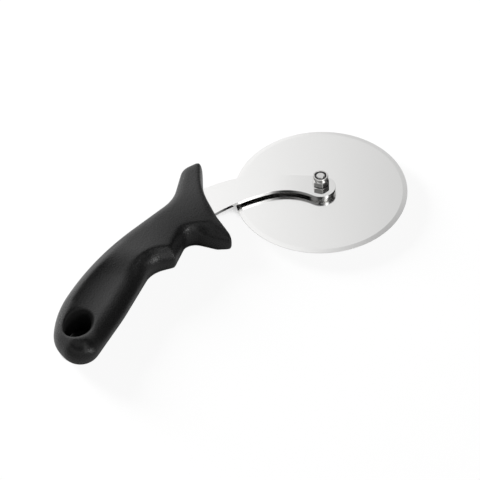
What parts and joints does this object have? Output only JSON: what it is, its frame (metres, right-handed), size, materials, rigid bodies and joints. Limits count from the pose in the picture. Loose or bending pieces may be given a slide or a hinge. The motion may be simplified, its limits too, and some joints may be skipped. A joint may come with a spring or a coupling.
{
  "type": "pizza cutter wheel",
  "caption": "Hand-held pizza cutter: bevelled round blade that spins on a nut-locked pivot, cranked flat steel arm, and a black moulded handle with finger guard and hang hole.",
  "frame": {"origin": "centre of the bounding box in plan, on the surface that the cutter lies on", "axes": "+X from the handle's end towards the wheel, +Z along the axle with the nuts up, +Y towards the back of the handle"},
  "size_m": [0.2476, 0.1104, 0.0195],
  "materials": {
    "handle": "black moulded polypropylene with a fine satin grain",
    "arm": "polished stainless steel plate",
    "wheel": "polished stainless steel disc with a ground bevel",
    "wheel_bush": "turned stainless steel",
    "head_washer": "stamped stainless steel",
    "axle_screw": "bright stainless steel",
    "pivot_nut": "bright plated steel",
    "lock_nut": "bright plated steel",
    "lock_insert": "dark nylon"
  },
  "bodies": {
    "frame": {"handle": "handle", "arm": "arm", "wheel_bush": "wheel_bush", "head_washer": "head_washer", "axle_screw": "axle_screw", "pivot_nut": "pivot_nut", "lock_nut": "lock_nut", "lock_insert": "lock_insert"},
    "wheel": {"wheel": "wheel"}
  },
  "joints": [
    {"name": "wheel_spin", "type": "hinge", "parent": "frame", "child": "wheel", "pos_m": [0.07299, -0.00439, 0.00605], "axis": [0, 0, 1], "continuous": true}
  ]
}
